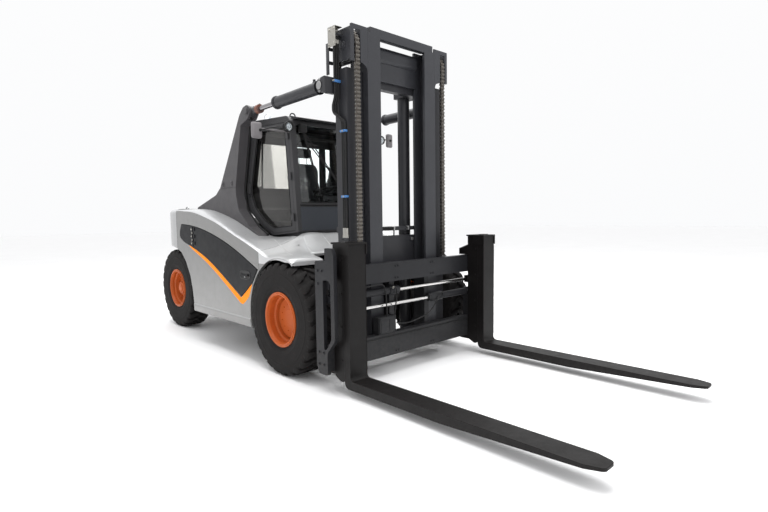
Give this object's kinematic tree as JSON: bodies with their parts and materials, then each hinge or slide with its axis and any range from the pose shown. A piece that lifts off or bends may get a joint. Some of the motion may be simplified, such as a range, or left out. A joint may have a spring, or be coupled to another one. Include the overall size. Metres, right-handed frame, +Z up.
{
  "type": "electric forklift",
  "caption": "Four-wheel counterbalance electric forklift with two-stage mast, wide carriage with sliding forks, swept body, closed cab, tilt cylinders between mast head and rear pillars",
  "frame": {"origin": "bottom centre of the whole machine with the forks at their widest, on the floor", "axes": "Z up, -Y is the way the truck drives and the forks point, +X is the driver left"},
  "size_m": [2.36, 7.1, 3.4398],
  "materials": {
    "body_paint": "silver-grey metallic paint, satin",
    "counterweight_paint": "cast iron, silver-grey metallic paint",
    "dark_panel": "charcoal satin paint",
    "pillar_paint": "mid grey textured paint",
    "cab_paint": "charcoal satin paint",
    "mast_paint": "blue-black satin paint",
    "frame_paint": "dark grey paint",
    "axle_paint": "black paint",
    "wheel_paint": "orange satin paint",
    "fork_steel": "black painted forged steel",
    "chain_steel": "oiled roller chain",
    "steel": "machined steel",
    "chrome": "chromed rod",
    "tyre_rubber": "solid rubber",
    "glass": "tinted safety glass",
    "black_plastic": "moulded plastic",
    "seat_fabric": "woven seat cloth",
    "battery_case": "coated battery case",
    "hose_rubber": "hydraulic hose"
  },
  "bodies": {
    "chassis": {"main_frame": "frame_paint", "mast_brackets": "frame_paint", "rear_frame": "frame_paint", "body_side_left": "body_paint", "body_side_right": "body_paint", "counterweight": "counterweight_paint", "counterweight_low": "counterweight_paint", "side_trims": "dark_panel", "step_panel_left": "dark_panel", "front_hood": "body_paint", "pillar_left": "pillar_paint", "pillar_right": "pillar_paint", "cab_shell": "cab_paint", "cab_roof": "cab_paint", "cab_glass": "glass", "seat_frame": "black_plastic", "seat_pads": "seat_fabric", "dashboard": "black_plastic", "steering_wheel": "black_plastic", "mirrors": "black_plastic", "work_lights": "black_plastic", "drive_axle": "axle_paint", "battery_block": "battery_case", "steer_axle": "axle_paint"},
    "knuckle_left_body": {"knuckle_left": "axle_paint"},
    "knuckle_right_body": {"knuckle_right": "axle_paint"},
    "front_wheel_left": {"tyre_front_left": "tyre_rubber", "wheel_front_left": "wheel_paint"},
    "front_wheel_right": {"tyre_front_right": "tyre_rubber", "wheel_front_right": "wheel_paint"},
    "rear_wheel_left": {"tyre_rear_left": "tyre_rubber", "wheel_rear_left": "wheel_paint"},
    "rear_wheel_right": {"tyre_rear_right": "tyre_rubber", "wheel_rear_right": "wheel_paint"},
    "hatch_left_body": {"hatch_left": "dark_panel"},
    "hatch_right_body": {"hatch_right": "dark_panel"},
    "rear_lid_body": {"rear_lid": "body_paint"},
    "door_left_body": {"cab_door_left": "cab_paint", "door_glass_left": "glass"},
    "door_right_body": {"cab_door_right": "cab_paint", "door_glass_right": "glass"},
    "mast_outer_body": {"outer_mast": "mast_paint", "lift_cylinders": "mast_paint", "mast_hoses": "hose_rubber"},
    "tilt_barrel_left_body": {"tilt_barrel_left": "mast_paint"},
    "tilt_barrel_right_body": {"tilt_barrel_right": "mast_paint"},
    "tilt_rod_left_body": {"tilt_rod_left": "steel"},
    "tilt_rod_right_body": {"tilt_rod_right": "steel"},
    "mast_inner_body": {"inner_mast": "mast_paint", "lift_rods": "chrome", "chain_sheaves": "steel", "lift_chains": "chain_steel", "lift_hoses": "hose_rubber"},
    "carriage_body": {"carriage_frame": "mast_paint", "carriage_side_plates": "mast_paint", "positioner_cylinders": "mast_paint"},
    "fork_left_body": {"fork_left": "fork_steel", "positioner_rod_left": "chrome"},
    "fork_right_body": {"fork_right": "fork_steel", "positioner_rod_right": "chrome"}
  },
  "joints": [
    {"name": "wheel_front_left_spin", "type": "hinge", "parent": "chassis", "child": "front_wheel_left", "pos_m": [1.025, -0.3, 0.575], "axis": [1, 0, 0], "continuous": true},
    {"name": "wheel_front_right_spin", "type": "hinge", "parent": "chassis", "child": "front_wheel_right", "pos_m": [-1.025, -0.3, 0.575], "axis": [1, 0, 0], "continuous": true},
    {"name": "steer_left", "type": "hinge", "parent": "chassis", "child": "knuckle_left_body", "pos_m": [0.595, 2.9, 0.575], "axis": [0, 0, 1], "range_deg": [-55, 55]},
    {"name": "steer_right", "type": "hinge", "parent": "chassis", "child": "knuckle_right_body", "pos_m": [-0.595, 2.9, 0.575], "axis": [0, 0, 1], "range_deg": [-55, 55]},
    {"name": "wheel_rear_left_spin", "type": "hinge", "parent": "knuckle_left_body", "child": "rear_wheel_left", "pos_m": [0.805, 2.9, 0.575], "axis": [1, 0, 0], "continuous": true},
    {"name": "wheel_rear_right_spin", "type": "hinge", "parent": "knuckle_right_body", "child": "rear_wheel_right", "pos_m": [-0.805, 2.9, 0.575], "axis": [1, 0, 0], "continuous": true},
    {"name": "hatch_left_hinge", "type": "hinge", "parent": "chassis", "child": "hatch_left_body", "pos_m": [1.16, 1.766, 1.25], "axis": [0, 0, 1], "range_deg": [0, 100]},
    {"name": "hatch_right_hinge", "type": "hinge", "parent": "chassis", "child": "hatch_right_body", "pos_m": [-1.16, 1.766, 1.25], "axis": [0, 0, -1], "range_deg": [0, 100]},
    {"name": "rear_lid_hinge", "type": "hinge", "parent": "chassis", "child": "rear_lid_body", "pos_m": [0, 2.288, 1.744], "axis": [-1, 0, 0], "range_deg": [0, 55]},
    {"name": "door_left_hinge", "type": "hinge", "parent": "chassis", "child": "door_left_body", "pos_m": [0.66236, 0.152, 1.44], "axis": [0, -0.0808, -0.9967], "range_deg": [0, 60]},
    {"name": "door_right_hinge", "type": "hinge", "parent": "chassis", "child": "door_right_body", "pos_m": [-0.66236, 0.152, 1.44], "axis": [0, 0.0808, 0.9967], "range_deg": [0, 60]},
    {"name": "mast_tilt", "type": "hinge", "parent": "chassis", "child": "mast_outer_body", "pos_m": [0, -0.44, 0.42], "axis": [1, 0, 0], "range_deg": [-8, 5]},
    {"name": "tilt_barrel_left_pivot", "type": "hinge", "parent": "mast_outer_body", "child": "tilt_barrel_left_body", "pos_m": [0.815, -0.65, 2.87], "axis": [1, 0, 0], "range_deg": [-8, 12]},
    {"name": "tilt_rod_left_slide", "type": "slide", "parent": "tilt_barrel_left_body", "child": "tilt_rod_left_body", "axis": [0, 0.9998, -0.0176], "range_m": [-0.36, 0.36]},
    {"name": "tilt_barrel_right_pivot", "type": "hinge", "parent": "mast_outer_body", "child": "tilt_barrel_right_body", "pos_m": [-0.815, -0.65, 2.87], "axis": [1, 0, 0], "range_deg": [-8, 12]},
    {"name": "tilt_rod_right_slide", "type": "slide", "parent": "tilt_barrel_right_body", "child": "tilt_rod_right_body", "axis": [0, 0.9998, -0.0176], "range_m": [-0.36, 0.36]},
    {"name": "mast_lift", "type": "slide", "parent": "mast_outer_body", "child": "mast_inner_body", "axis": [0, 0, 1], "range_m": [-0.03, 1.6], "deforming": ["lift_chains", "lift_hoses"]},
    {"name": "carriage_lift", "type": "slide", "parent": "mast_inner_body", "child": "carriage_body", "axis": [0, 0, 1], "range_m": [-0.03, 1.6]},
    {"name": "fork_left_slide", "type": "slide", "parent": "carriage_body", "child": "fork_left_body", "axis": [-1, 0, 0], "range_m": [0, 0.78]},
    {"name": "fork_right_slide", "type": "slide", "parent": "carriage_body", "child": "fork_right_body", "axis": [1, 0, 0], "range_m": [0, 0.78]}
  ],
  "couplings": [
    {"joint": "steer_right", "follows": "steer_left", "ratio": 1},
    {"joint": "carriage_lift", "follows": "mast_lift", "ratio": 1},
    {"joint": "tilt_barrel_left_pivot", "follows": "mast_tilt", "ratio": -0.85454},
    {"joint": "tilt_rod_left_slide", "follows": "mast_tilt", "m_per_rad": 2.4426},
    {"joint": "tilt_barrel_right_pivot", "follows": "mast_tilt", "ratio": -0.85454},
    {"joint": "tilt_rod_right_slide", "follows": "mast_tilt", "m_per_rad": 2.4426}
  ]
}
